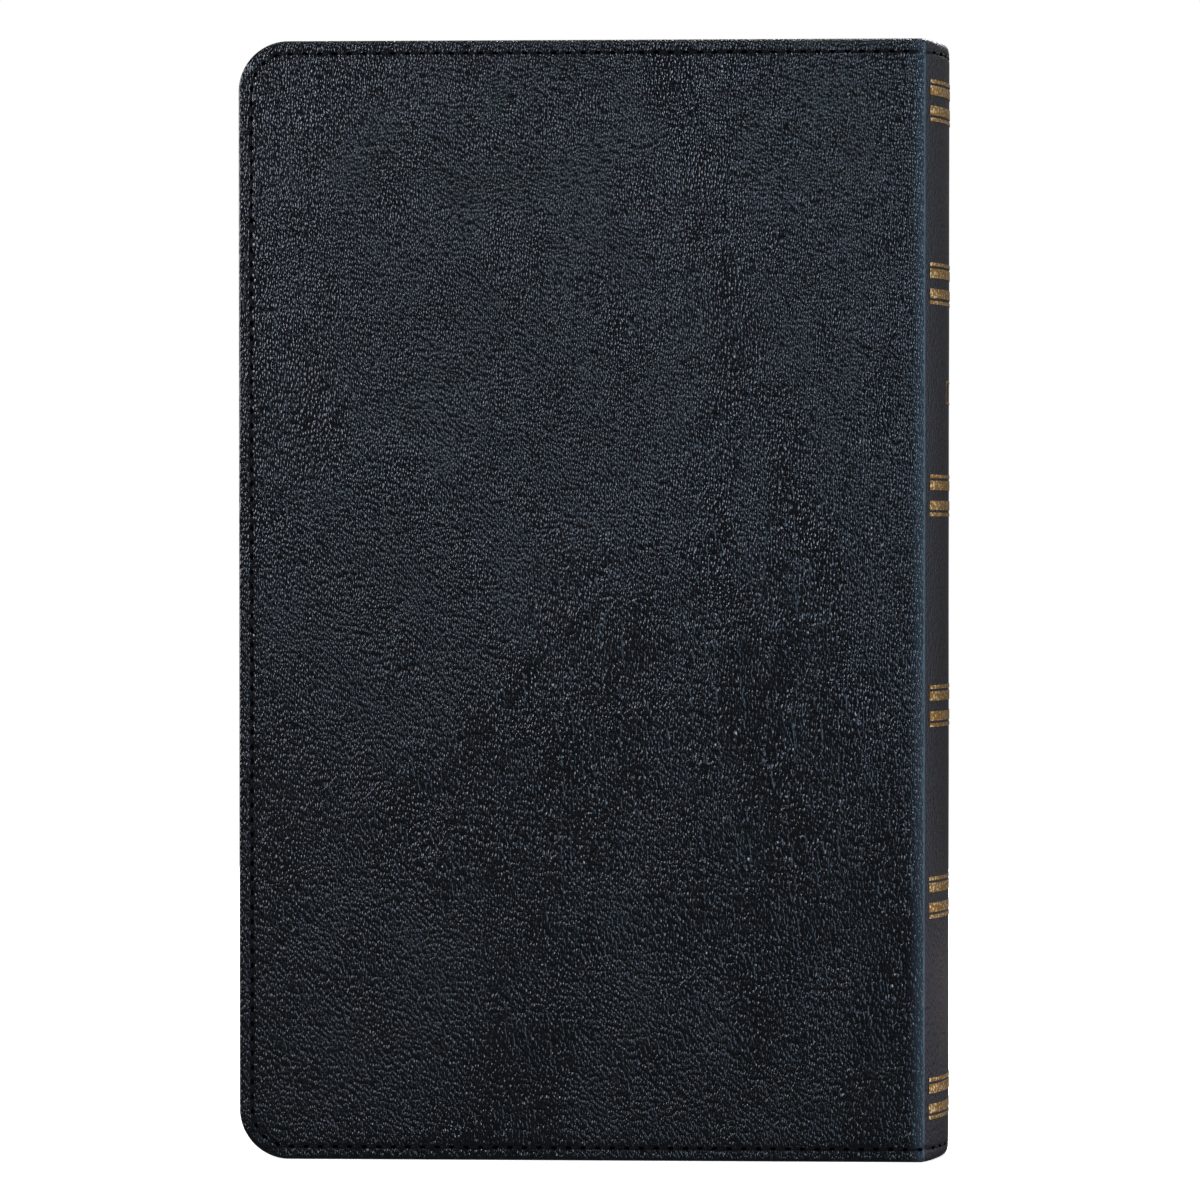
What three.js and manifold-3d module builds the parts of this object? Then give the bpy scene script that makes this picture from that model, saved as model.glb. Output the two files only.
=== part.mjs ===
// A limp-bound bible standing on its tail: two flexible leather covers hinged to a rounded spine, and
// sewn gatherings of thin paper between them.
// Millimetres.  +X towards the spine, +Y towards the front cover, +Z up to the head.
// The origin is the middle of the footprint, on the surface that the book stands on.
import * as THREE from "three";
import { mergeVertices } from "three/addons/utils/BufferGeometryUtils.js";
import Module from "manifold-3d";

const wasm = await Module();
wasm.setup();

// Overall sizes of the closed book.
const BOOK_HEIGHT = 230; // tail edge to head edge of the covers
const BOOK_THICKNESS = 30; // over both covers
const COVER_WIDTH = 140.5; // fore edge of a cover to its hinge corner
const SPINE_BULGE = 5.9; // how far the rounded spine stands past the hinge corners
const COVER_CORNER_RADIUS = 10.3; // at the two fore-edge corners

// The layers of a cover, from outside to inside.
const COVER_LEATHER = 0.8;
const COVER_BOARD = 0.5;
const TURN_IN_THICKNESS = 0.4; // leather pared thin and folded over the board
const TURN_IN_WIDTH = 12;
const PASTEDOWN = 0.2;
const PASTEDOWN_INSET = 4.5; // leather left showing round the pastedown
const HINGE_FLEX = 1.6; // bare leather between the board and the hinge corner

// The stitched edge.
const STITCH_INSET = 2.7; // cover edge to the middle of the thread
const THREAD_WIDTH = 0.5;
const THREAD_THICKNESS = 0.3;
const THREAD_RECESS = 0.05; // the thread lies just under the leather's surface
const GROOVE_WIDTH = 0.9;
const GROOVE_DEPTH = 0.45;

// The spine, from outside to inside.
const SPINE_LEATHER = 0.9;
const SPINE_LINER = 0.3;
const SPINE_LINER_INSET = 6; // short of the head and the tail of the spine
const MULL = 0.3; // open gauze glued over the sewn backs
const MULL_INSET = 21; // short of the head and the tail of the spine
const HEADBAND_THICKNESS = 1.7; // along the spine's radius
const HEADBAND_HEIGHT = 2;

// The pages.
const SQUARE = 3.2; // cover standing past the pages at head, tail and fore edge
const PAGE_CORNER_RADIUS = 6;
const GATHERINGS_PER_HALF = 7;
const FLYLEAF = 0.2;
const FLYLEAF_BACK_CLEARANCE = 2.8; // hinge corner to the fold of the flyleaf
const MIDDLE_GATHERING = 1.6; // the gathering at the middle opening, left whole
const LOOSE_LEAVES = 2; // bundles of turning pages on each side of the middle gathering
const LOOSE_LEAVES_THICKNESS = 0.25;
const LOOSE_LEAVES_BACK_CLEARANCE = 0.5;
const RIBBON_THICKNESS = 0.2;
const RIBBON_WIDTH = 5;
const RIBBON_INSET = 8; // tucked in this far from the head and the tail of the covers
const RIBBON_FROM_BACK = 14; // back fold of the pages to the ribbon's near edge

// Clearances.
const GLUE_GAP = 0.1; // between glued or stacked layers
const HINGE_GAP = 0.1; // between a cover and the hinge line at its corner
const SPLIT_GAP = 0.05; // between the middle opening's pivot line and the half that turns on it

const ARC_STEP_DEGREES = 4;

// Derived places.
const spineApexX = (COVER_WIDTH + SPINE_BULGE) / 2;
const foreEdgeX = -spineApexX;
const cornerX = spineApexX - SPINE_BULGE;
const halfThickness = BOOK_THICKNESS / 2;
const spineRadius = (halfThickness ** 2 + SPINE_BULGE ** 2) / (2 * SPINE_BULGE);
const spineCentreX = spineApexX - spineRadius;
const linerRadius = spineRadius - SPINE_LEATHER - GLUE_GAP;
const mullRadius = linerRadius - SPINE_LINER - GLUE_GAP;
const pageBackRadius = mullRadius - MULL - GLUE_GAP;

const boardTopY = halfThickness - COVER_LEATHER - GLUE_GAP;
const turnInTopY = boardTopY - COVER_BOARD - GLUE_GAP;
const turnInBottomY = turnInTopY - TURN_IN_THICKNESS;
const pastedownTopY = turnInBottomY - GLUE_GAP;
const coverInnerY = pastedownTopY - PASTEDOWN;
const flyleafTopY = coverInnerY - GLUE_GAP;
const pagesTopY = flyleafTopY - FLYLEAF - GLUE_GAP;

const ribbonY = MIDDLE_GATHERING / 2 + GLUE_GAP;
const splitY = ribbonY + RIBBON_THICKNESS + GLUE_GAP / 2; // pivot line of each half
const halfBottomY = splitY + SPLIT_GAP;
const gatheringsBottomY = halfBottomY + LOOSE_LEAVES * (LOOSE_LEAVES_THICKNESS + GLUE_GAP);
const gatheringPitch = (pagesTopY + GLUE_GAP - gatheringsBottomY) / GATHERINGS_PER_HALF;

const pageBackX = (y) => spineCentreX + Math.sqrt(pageBackRadius ** 2 - y ** 2);
const pageWidth = pageBackX(pagesTopY) - (foreEdgeX + SQUARE);
const pageHeight = BOOK_HEIGHT - 2 * SQUARE;

// Materials.
const material = (color, roughness) =>
  new THREE.MeshStandardMaterial({ color, roughness, metalness: 0 });
const leather = material(0x22252b, 0.5);
const board = material(0x77705f, 0.9);
const endpaper = material(0x1c1d22, 0.8);
const pagePaper = material(0xe9e2cf, 0.85);
const thread = material(0x101116, 0.6);
const linerPaper = material(0xb7a888, 0.9);
const gauze = material(0xd8d2c0, 0.95);
const headbandCloth = material(0x1b1b20, 0.7);
const ribbonSilk = material(0x5d1220, 0.45);

// A named piece.
function piece(name, geometry, surface) {
  const mesh = new THREE.Mesh(geometry, surface);
  mesh.name = name;
  return mesh;
}

// Points along an arc of the spine, from one height above the middle plane to another.
function spineArc(radius, fromAngle, toAngle) {
  const steps = Math.max(2, Math.ceil(Math.abs(toAngle - fromAngle) / rad(ARC_STEP_DEGREES)));
  const evenSteps = steps + (steps % 2);
  const points = [];
  for (let i = 0; i <= evenSteps; i++) {
    const angle = fromAngle + ((toAngle - fromAngle) * i) / evenSteps;
    points.push(new THREE.Vector2(spineCentreX + radius * Math.cos(angle), radius * Math.sin(angle)));
  }
  return points;
}

function rad(degrees) {
  return (degrees * Math.PI) / 180;
}

// A curved layer of the spine between two heights.  A limit is a function that gives the end angle
// at a radius, so that the outer and inner arcs end on one flat cut.
function spineLayer(outerRadius, thickness, lowLimit, highLimit, bottomZ, topZ) {
  const innerRadius = outerRadius - thickness;
  const outer = spineArc(outerRadius, lowLimit(outerRadius), highLimit(outerRadius));
  const inner = spineArc(innerRadius, highLimit(innerRadius), lowLimit(innerRadius));
  const layer = new THREE.ExtrudeGeometry(new THREE.Shape([...outer, ...inner]), {
    depth: topZ - bottomZ,
    bevelEnabled: false,
  });
  return layer.translate(0, 0, bottomZ);
}

const cutAtY = (y) => (radius) => Math.asin(y / radius);
const cutAtX = (x) => (radius) => Math.acos((x - spineCentreX) / radius);

// An upright sheet in X and Z with its two fore-edge corners rounded.
function sheetOutline(foreX, backX, bottomZ, topZ, radius) {
  const outline = new THREE.Shape();
  outline.moveTo(backX, bottomZ);
  outline.lineTo(backX, topZ);
  outline.lineTo(foreX + radius, topZ);
  outline.absarc(foreX + radius, topZ - radius, radius, Math.PI / 2, Math.PI);
  outline.lineTo(foreX, bottomZ + radius);
  outline.absarc(foreX + radius, bottomZ + radius, radius, Math.PI, 1.5 * Math.PI);
  outline.closePath();
  return outline;
}

// The same outline for a cover layer, a distance inside the cover's three free edges.
function coverOutline(inset, backX) {
  return sheetOutline(
    foreEdgeX + inset,
    backX,
    inset,
    BOOK_HEIGHT - inset,
    Math.max(COVER_CORNER_RADIUS - inset, 1),
  );
}

// An outline drawn in X and Z, given its thickness along Y.
function slab(outline, bottomY, topY) {
  const sheet = new THREE.ExtrudeGeometry(outline, {
    depth: topY - bottomY,
    bevelEnabled: false,
    curveSegments: 8,
  });
  return sheet.rotateX(Math.PI / 2).translate(0, topY, 0);
}

// A bundle of pages: flat sheets that step along the rounded back, so both its edges slope with it.
function pageBundle(bottomY, topY, backClearance = 0) {
  const backX = pageBackX(0);
  const bundle = slab(
    sheetOutline(backX - pageWidth, backX - backClearance, SQUARE, SQUARE + pageHeight, PAGE_CORNER_RADIUS),
    bottomY,
    topY,
  );
  const position = bundle.getAttribute("position");
  for (let i = 0; i < position.count; i++)
    position.setX(i, position.getX(i) + pageBackX(position.getY(i)) - backX);
  return bundle;
}

// Boolean cuts.
function solid(geometry) {
  const bare = new THREE.BufferGeometry();
  bare.setAttribute("position", geometry.getAttribute("position"));
  if (geometry.index) bare.setIndex(geometry.index);
  const merged = mergeVertices(bare, 1e-4);
  return new wasm.Manifold(
    new wasm.Mesh({
      numProp: 3,
      vertProperties: new Float32Array(merged.attributes.position.array),
      triVerts: new Uint32Array(merged.index.array),
    }),
  );
}

function cut(body, ...tools) {
  const { vertProperties, triVerts } = tools
    .reduce((rest, tool) => rest.subtract(solid(tool)), solid(body))
    .getMesh();
  const result = new THREE.BufferGeometry();
  result.setAttribute("position", new THREE.BufferAttribute(vertProperties, 3));
  result.setIndex(new THREE.BufferAttribute(triVerts, 1));
  result.computeVertexNormals();
  return result;
}

// A U-shaped strip that follows the stitch line, open at the hinge.
function stitchStrip(width, bottomY, topY, backX) {
  const line = coverOutline(STITCH_INSET - width / 2, backX);
  line.holes.push(coverOutline(STITCH_INSET + width / 2, backX - 1));
  const ring = slab(line, bottomY, topY);
  const opening = new THREE.BoxGeometry(
    4,
    BOOK_THICKNESS,
    BOOK_HEIGHT - 2 * STITCH_INSET - width,
  ).translate(backX, topY, BOOK_HEIGHT / 2);
  return cut(ring, opening);
}

// One cover: the leather with its edges turned in over a board, the paper pasted inside, the stitching.
// Built for the front; the back is its mirror image.
function cover(name) {
  const group = new THREE.Group();
  const hingeX = cornerX - HINGE_GAP;
  const pocketX = hingeX - HINGE_FLEX;
  const past = 1;
  const leatherBody = cut(
    slab(coverOutline(0, hingeX), turnInBottomY, halfThickness),
    slab(coverOutline(COVER_LEATHER, pocketX), turnInTopY, halfThickness - COVER_LEATHER),
    slab(coverOutline(TURN_IN_WIDTH, hingeX + past), turnInBottomY - past, turnInTopY + GLUE_GAP),
    stitchStrip(GROOVE_WIDTH, halfThickness - GROOVE_DEPTH, halfThickness + past, hingeX + past),
  );
  group.add(piece(`${name}_cover_leather`, leatherBody, leather));
  const boardInset = COVER_LEATHER + GLUE_GAP;
  group.add(
    piece(
      `${name}_cover_board`,
      slab(coverOutline(boardInset, pocketX - GLUE_GAP), boardTopY - COVER_BOARD, boardTopY),
      board,
    ),
  );
  group.add(
    piece(
      `${name}_pastedown`,
      slab(coverOutline(PASTEDOWN_INSET, pocketX), coverInnerY, pastedownTopY),
      endpaper,
    ),
  );
  const threadTopY = halfThickness - THREAD_RECESS;
  group.add(
    piece(
      `${name}_cover_stitching`,
      stitchStrip(THREAD_WIDTH, threadTopY - THREAD_THICKNESS, threadTopY, hingeX),
      thread,
    ),
  );
  return group;
}

// One half of the book, outside the middle gathering.
function half(name) {
  const group = new THREE.Group();
  const nearMiddle = cutAtY(halfBottomY);
  const atCorner = cutAtX(cornerX + HINGE_GAP);
  const atPages = cutAtY(pagesTopY);
  group.add(
    piece(
      `${name}_spine_leather`,
      spineLayer(spineRadius, SPINE_LEATHER, nearMiddle, atCorner, 0, BOOK_HEIGHT),
      leather,
    ),
  );
  const insetLayer = (radius, thickness, inset) =>
    spineLayer(radius, thickness, nearMiddle, atPages, inset, BOOK_HEIGHT - inset);
  group.add(piece(`${name}_spine_liner`, insetLayer(linerRadius, SPINE_LINER, SPINE_LINER_INSET), linerPaper));
  group.add(piece(`${name}_mull`, insetLayer(mullRadius, MULL, MULL_INSET), gauze));
  const headbandZ = SQUARE + pageHeight + GLUE_GAP;
  const headband = () =>
    spineLayer(pageBackRadius, HEADBAND_THICKNESS, nearMiddle, atPages, headbandZ, headbandZ + HEADBAND_HEIGHT);
  group.add(piece(`${name}_head_headband`, headband(), headbandCloth));
  const tailDrop = BOOK_HEIGHT - 2 * headbandZ - HEADBAND_HEIGHT;
  group.add(piece(`${name}_tail_headband`, headband().translate(0, 0, tailDrop), headbandCloth));

  for (let i = 0; i < GATHERINGS_PER_HALF; i++) {
    const bottomY = gatheringsBottomY + i * gatheringPitch;
    group.add(
      piece(`${name}_gathering_${i + 1}`, pageBundle(bottomY, bottomY + gatheringPitch - GLUE_GAP), pagePaper),
    );
  }
  for (let i = 0; i < LOOSE_LEAVES; i++) {
    const bottomY = halfBottomY + i * (LOOSE_LEAVES_THICKNESS + GLUE_GAP);
    group.add(
      piece(
        `${name}_turning_pages_${i + 1}`,
        pageBundle(bottomY, bottomY + LOOSE_LEAVES_THICKNESS, LOOSE_LEAVES_BACK_CLEARANCE),
        pagePaper,
      ),
    );
  }
  group.add(
    piece(
      `${name}_flyleaf`,
      slab(
        sheetOutline(
          foreEdgeX + SQUARE,
          cornerX - FLYLEAF_BACK_CLEARANCE,
          SQUARE,
          BOOK_HEIGHT - SQUARE,
          PAGE_CORNER_RADIUS,
        ),
        flyleafTopY - FLYLEAF,
        flyleafTopY,
      ),
      endpaper,
    ),
  );
  return group;
}

// What stays in the middle when both halves open: a strip of the spine, one gathering, the marker.
function middle() {
  const group = new THREE.Group();
  const stripEdge = splitY - SPLIT_GAP;
  group.add(
    piece(
      "middle_spine_leather",
      spineLayer(spineRadius, SPINE_LEATHER, cutAtY(-stripEdge), cutAtY(stripEdge), 0, BOOK_HEIGHT),
      leather,
    ),
  );
  group.add(
    piece("middle_gathering", pageBundle(-MIDDLE_GATHERING / 2, MIDDLE_GATHERING / 2), pagePaper),
  );
  const ribbonBackX = pageBackX(0) - RIBBON_FROM_BACK;
  const ribbon = new THREE.BoxGeometry(RIBBON_WIDTH, RIBBON_THICKNESS, BOOK_HEIGHT - 2 * RIBBON_INSET);
  ribbon.translate(ribbonBackX - RIBBON_WIDTH / 2, ribbonY + RIBBON_THICKNESS / 2, BOOK_HEIGHT / 2);
  group.add(piece("ribbon_marker", ribbon, ribbonSilk));
  return group;
}

const bible = new THREE.Group();
bible.add(middle());
bible.add(half("front"), cover("front"));
const backSide = new THREE.Group();
backSide.add(half("back"), cover("back"));
backSide.scale.set(1, -1, 1);
bible.add(backSide);

export default bible;
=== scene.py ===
"""A limp leather bible standing on its tail, seen from its back cover.

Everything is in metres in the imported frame: +X towards the spine, +Y towards the front cover, +Z up.
Sizes below are written in millimetres and turned to metres by MM.
"""

import math
import random

import bmesh
import bpy
from mathutils import Matrix, Vector, noise


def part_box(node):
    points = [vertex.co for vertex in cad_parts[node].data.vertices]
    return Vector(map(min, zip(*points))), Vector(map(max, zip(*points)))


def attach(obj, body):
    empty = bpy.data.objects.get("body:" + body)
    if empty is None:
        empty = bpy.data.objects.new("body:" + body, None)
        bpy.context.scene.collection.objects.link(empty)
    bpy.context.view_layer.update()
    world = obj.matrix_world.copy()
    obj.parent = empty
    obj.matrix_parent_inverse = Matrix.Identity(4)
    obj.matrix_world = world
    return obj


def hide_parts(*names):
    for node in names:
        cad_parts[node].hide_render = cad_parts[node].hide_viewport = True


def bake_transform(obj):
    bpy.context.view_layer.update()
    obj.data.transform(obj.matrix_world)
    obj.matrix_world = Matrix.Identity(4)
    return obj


MM = 0.001
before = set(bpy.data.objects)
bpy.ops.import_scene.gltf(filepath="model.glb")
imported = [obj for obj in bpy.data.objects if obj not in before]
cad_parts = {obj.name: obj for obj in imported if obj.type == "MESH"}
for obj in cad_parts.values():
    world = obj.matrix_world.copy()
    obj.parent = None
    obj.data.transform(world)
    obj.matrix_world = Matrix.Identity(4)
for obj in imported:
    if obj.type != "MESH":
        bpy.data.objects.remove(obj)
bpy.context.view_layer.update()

SIDES = {"front": 1, "back": -1}

# ---------------------------------------------------------------- the book's measures, in millimetres


def span(node, axis):
    """Lowest and highest place of a node along x, y or z."""
    low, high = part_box(node)
    return getattr(low, axis) / MM, getattr(high, axis) / MM


HINGE_GAP = 0.1
FORE_X, COVER_END_X = span("front_cover_leather", "x")
CORNER_X = COVER_END_X + HINGE_GAP
APEX_X = span("middle_spine_leather", "x")[1]
FACE_Y = span("front_cover_leather", "y")[1]
HEIGHT = span("front_cover_leather", "z")[1]

BULGE = APEX_X - CORNER_X
SPINE_R = (FACE_Y**2 + BULGE**2) / (2 * BULGE)
SPINE_CX = APEX_X - SPINE_R

CORNER_R = 10.3
LEATHER = 0.8
STITCH_INSET = 2.7
STITCH_PITCH = 3.0
SEAM_DEPTH = 0.17  # how far the stitches pull the leather in
SEAM_WIDTH = 0.5  # of the groove, to where it is a third as deep
FILLET_R = 1.3  # how tightly the leather bends round the hinge corner

# Where the hinge bend meets the cover's face and the spine's curve.
FILLET_CX = SPINE_CX + math.sqrt((SPINE_R - FILLET_R) ** 2 - (FACE_Y - FILLET_R) ** 2)
SEAM_ANGLE = math.atan2(FACE_Y - FILLET_R, FILLET_CX - SPINE_CX)


def smooth(low, high, value):
    """0 below low, 1 above high, easing between."""
    t = min(max((value - low) / (high - low), 0), 1)
    return t * t * (3 - 2 * t)


# ---------------------------------------------------------------- materials


def linear(hex_colour):
    """An sRGB hex colour as the linear colour that a shader takes."""
    parts = [int(hex_colour[i : i + 2], 16) / 255 for i in (1, 3, 5)]
    return (*[c / 12.92 if c <= 0.04045 else ((c + 0.055) / 1.055) ** 2.4 for c in parts], 1)


def add(tree, kind, inputs=None, stops=(), **settings):
    """A node of that kind. Each input takes a plain value or another node's socket.

    Stops are the (place, hex colour) pairs of a colour ramp.
    """
    node = tree.nodes.new("ShaderNode" + kind)
    for name, value in settings.items():
        setattr(node, name, value)
    for name, value in (inputs or {}).items():
        if isinstance(value, bpy.types.NodeSocket):
            tree.links.new(value, node.inputs[name])
        else:
            node.inputs[name].default_value = value
    if stops:
        elements = node.color_ramp.elements
        while len(elements) < len(stops):
            elements.new(0.5)
        for element, (place, colour) in zip(elements, stops):
            element.position = place
            element.color = linear(colour)
    return node


def new_material(name):
    """An empty node material and its tree."""
    material = bpy.data.materials.new(name)
    material.use_nodes = True
    material.node_tree.nodes.clear()
    return material, material.node_tree


def finish_material(tree, inputs):
    """Closes a material with one Principled shader."""
    shader = add(tree, "BsdfPrincipled", inputs)
    add(tree, "OutputMaterial", {"Surface": shader.outputs["BSDF"]})


def per_metre(millimetres):
    """A texture's scale for a feature of that size."""
    return 1 / (millimetres * MM)


def moved_by(tree, colour, millimetres, place):
    """A place pushed about in X and Z by a noise's colour, by up to half that many millimetres."""
    centred = add(tree, "VectorMath", {0: colour, 1: (0.5, 0.5, 0.5)}, operation="SUBTRACT").outputs[0]
    push = (millimetres * MM, 0, millimetres * MM)
    return add(tree, "VectorMath", {0: centred, 1: push, 2: place}, operation="MULTIPLY_ADD").outputs[0]


HINGE_HIGHLIGHT_COLOUR = "#222d37"  # a pale blue-grey, painted along the hinge bend as its highlight


def grained_leather(name, low, high, pebble, ripple, roughness, crease=0):
    """Bonded leather, embossed with a fine pebble grain and lacquered semi-matt.

    The pebbles are 0.5 mm across and drawn out along the hide, so light catches each on one shoulder.
    Their valleys are painted darker than their tops, as shade.
    Heights are in millimetres. With a crease height, the mesh's "grain" layer says how much grain is
    left, its "worn" layer how much the hide is creased, and a third layer where a pale blue-grey
    highlight is painted along the hinge bend.
    """
    material, tree = new_material(name)
    place = add(tree, "TexCoord").outputs["Object"]
    # Patches of 16 mm in which the grain leans one way or another.
    drift = add(tree, "TexNoise", {"Vector": place, "Scale": per_metre(16), "Detail": 1.0})
    leaned = moved_by(tree, drift.outputs["Color"], 3, place)
    # Tremble of 2 mm, so that no row of pebbles runs straight.
    shake = add(tree, "TexNoise", {"Vector": leaned, "Scale": per_metre(2), "Detail": 0.0})
    shaken = moved_by(tree, shake.outputs["Color"], 0.25, leaned)
    drawn = add(tree, "Mapping", {"Vector": shaken, "Scale": (1, 1, 0.5)}).outputs[0]
    pebbles = {"Vector": drawn, "Scale": per_metre(0.52), "Randomness": 0.9}
    cells = add(tree, "TexVoronoi", pebbles).outputs["Distance"]
    # Round-topped pebbles that meet in sharp valleys.
    domes = add(tree, "Math", {0: cells, 1: cells}, operation="MULTIPLY").outputs[0]
    pores = add(tree, "TexNoise", {"Vector": place, "Scale": per_metre(0.3), "Detail": 2.0}).outputs[0]
    # Soft ripples, 3.4 mm apart across the hide and long along it.
    long_way = add(tree, "Mapping", {"Vector": leaned, "Scale": (1, 1, 0.3)}).outputs[0]
    waves = add(tree, "TexNoise", {"Vector": long_way, "Scale": per_metre(3.4), "Detail": 1.5}).outputs[0]

    height = add(tree, "Math", {0: domes, 1: -pebble}, operation="MULTIPLY").outputs[0]
    for pattern, share in ((pores, pebble * 0.05), (waves, ripple)):
        raised = {0: pattern, 1: share, 2: height}
        height = add(tree, "Math", raised, operation="MULTIPLY_ADD").outputs[0]
    # Painted shade: the colour darkens from the pebbles' tops into the valleys between them.
    tone = add(tree, "ValToRGB", {"Fac": domes}, stops=[(0.0, high), (0.3, low)]).outputs["Color"]
    if crease:
        left = add(tree, "Attribute", attribute_name="grain").outputs["Fac"]
        height = add(tree, "Math", {0: height, 1: left}, operation="MULTIPLY").outputs[0]
        ridges = crease_ridges(tree, leaned, shake.outputs["Fac"])
        worn = add(tree, "Attribute", attribute_name="worn").outputs["Fac"]
        tall = add(tree, "Math", {0: worn, 1: crease}, operation="MULTIPLY").outputs[0]
        raised = {0: ridges, 1: tall, 2: height}
        height = add(tree, "Math", raised, operation="MULTIPLY_ADD").outputs[0]
        # Painted highlight: a pale blue-grey is mixed into the colour along the hinge bend, where the bend
        # catches the light.
        hinge_highlight = add(tree, "Attribute", attribute_name="hinge_highlight").outputs["Fac"]
        hinge_highlighted = {"Factor": hinge_highlight, 6: tone, 7: linear(HINGE_HIGHLIGHT_COLOUR)}
        tone = add(tree, "Mix", hinge_highlighted, data_type="RGBA").outputs[2]
    bump = add(tree, "Bump", {"Height": height, "Strength": 1.0, "Distance": MM})
    # The lacquer is a little worn and dusty in broad patches.
    patches = add(tree, "TexNoise", {"Vector": place, "Scale": per_metre(30), "Detail": 3.0}).outputs[0]
    shiny, dull = roughness - 0.04, roughness + 0.05
    dust = {"Value": patches, "From Min": 0.3, "From Max": 0.7, "To Min": shiny, "To Max": dull}
    gloss = add(tree, "MapRange", dust).outputs[0]
    look = {"Base Color": tone, "Roughness": gloss, "IOR": 1.5}
    finish_material(tree, {**look, "Normal": bump.outputs["Normal"]})
    return material


def crease_ridges(tree, place, breaks):
    """Thin ridges 0.7 mm wide and about 4 mm apart that run up the hide, broken here and there."""
    long_way = add(tree, "Mapping", {"Vector": place, "Scale": (1, 1, 0.16)}).outputs[0]
    waves = add(tree, "TexNoise", {"Vector": long_way, "Scale": per_metre(5), "Detail": 1.0}).outputs[0]
    # A ridge runs wherever the waves cross their middle height.
    off_line = add(tree, "Math", {0: waves, 1: 0.5}, operation="SUBTRACT").outputs[0]
    distance = add(tree, "Math", {0: off_line}, operation="ABSOLUTE").outputs[0]
    slope = {"Value": distance, "From Min": 0.0, "From Max": 0.05, "To Min": 1.0, "To Max": 0.0}
    ridge = add(tree, "MapRange", slope, interpolation_type="SMOOTHSTEP").outputs[0]
    whole = add(tree, "MapRange", {"Value": breaks, "From Min": 0.4, "From Max": 0.55}).outputs[0]
    return add(tree, "Math", {0: ridge, 1: whole}, operation="MULTIPLY").outputs[0]


def gold_foil():
    """Hot-stamped gold foil on grained leather: bright metal that breaks up over the pebbles."""
    material, tree = new_material("hot_stamped_gold_foil")
    place = add(tree, "TexCoord").outputs["Object"]
    pebbles = {"Vector": place, "Scale": per_metre(0.7), "Smoothness": 0.4}
    cells = add(tree, "TexVoronoi", pebbles, feature="SMOOTH_F1").outputs["Distance"]
    flecks = add(tree, "TexNoise", {"Vector": place, "Scale": per_metre(0.5), "Detail": 3.0}).outputs[0]
    mixed = add(tree, "Math", {0: flecks, 1: 1.2, 2: cells}, operation="MULTIPLY_ADD").outputs[0]
    # Pale on the pebbles' tops as a painted highlight, and darker all at once where flecks and valleys add
    # up: partly foil broken off them, partly painted shade in the valleys.
    tones = [(0.8, "#fff0c8"), (1.0, "#f2d596"), (1.0, "#b08544")]
    tone = add(tree, "ValToRGB", {"Fac": mixed}, stops=tones).outputs["Color"]
    broken = {"Value": mixed, "From Min": 0.6, "From Max": 1.3, "To Min": 0.26, "To Max": 0.5}
    rough = add(tree, "MapRange", broken).outputs[0]
    bump = add(tree, "Bump", {"Height": cells, "Strength": 0.8, "Distance": -0.018 * MM})
    look = {"Base Color": tone, "Metallic": 1.0, "Roughness": rough}
    finish_material(tree, {**look, "Normal": bump.outputs["Normal"]})
    return material


def gilt_edge():
    """Gilded page edges: gold leaf burnished on the cut block, so it shows the sheets as fine lines."""
    material, tree = new_material("burnished_gilt_page_edge")
    place = add(tree, "TexCoord").outputs["Object"]
    along = add(tree, "Mapping", {"Vector": place, "Scale": (0.05, 1, 0.05)}).outputs[0]
    sheets = add(tree, "TexNoise", {"Vector": along, "Scale": per_metre(0.12), "Detail": 2.0}).outputs[0]
    tones = [(0.3, "#8a5f1e"), (0.5, "#d19a3a"), (0.7, "#f0c86a")]
    tone = add(tree, "ValToRGB", {"Fac": sheets}, stops=tones).outputs["Color"]
    bump = add(tree, "Bump", {"Height": sheets, "Strength": 0.6, "Distance": 0.05 * MM})
    look = {"Base Color": tone, "Metallic": 1.0, "Roughness": 0.42}
    finish_material(tree, {**look, "Normal": bump.outputs["Normal"]})
    return material


def between(tree, value, low, high):
    """1 where the value lies between low and high, and 0 elsewhere."""
    above = add(tree, "Math", {0: value, 1: low}, operation="GREATER_THAN").outputs[0]
    below = add(tree, "Math", {0: value, 1: high}, operation="LESS_THAN").outputs[0]
    return add(tree, "Math", {0: above, 1: below}, operation="MULTIPLY").outputs[0]


def printed_words(tree, place):
    """How much ink lies at a place: two columns of lines 3.3 mm apart, with words 3 to 9 mm long."""
    axes = add(tree, "SeparateXYZ", {"Vector": place})
    x, z = axes.outputs["X"], axes.outputs["Z"]
    left = between(tree, x, -54 * MM, -2 * MM)
    right = between(tree, x, 3 * MM, 55 * MM)
    columns = add(tree, "Math", {0: left, 1: right}, operation="MAXIMUM").outputs[0]
    rows = between(tree, z, 16 * MM, 211 * MM)
    line = add(tree, "Math", {0: z, 1: per_metre(3.3)}, operation="MULTIPLY").outputs[0]
    line_number = add(tree, "Math", {0: line}, operation="FLOOR").outputs[0]
    line_part = add(tree, "Math", {0: line}, operation="FRACT").outputs[0]
    inked = between(tree, line_part, 0.3, 0.72)
    # Each line takes its own row of the noise, and its words lie where that row is high.
    numbered = add(tree, "CombineXYZ", {"X": x, "Y": line_number}).outputs[0]
    spread = {0: numbered, 1: (per_metre(5.5), 7.3, 1)}
    word_place = add(tree, "VectorMath", spread, operation="MULTIPLY").outputs[0]
    words = add(tree, "TexNoise", {"Vector": word_place, "Scale": 1.0, "Detail": 0.0}).outputs[0]
    in_word = add(tree, "Math", {0: words, 1: 0.42}, operation="GREATER_THAN").outputs[0]
    strokes = add(tree, "TexNoise", {"Vector": place, "Scale": per_metre(0.45), "Detail": 1.0}).outputs[0]
    pressed = {"Value": strokes, "From Min": 0.4, "From Max": 0.62, "To Min": 0.25, "To Max": 0.85}
    stroke = add(tree, "MapRange", pressed).outputs[0]
    ink = columns
    for part in (rows, inked, in_word, stroke):
        ink = add(tree, "Math", {0: ink, 1: part}, operation="MULTIPLY").outputs[0]
    return ink


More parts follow.
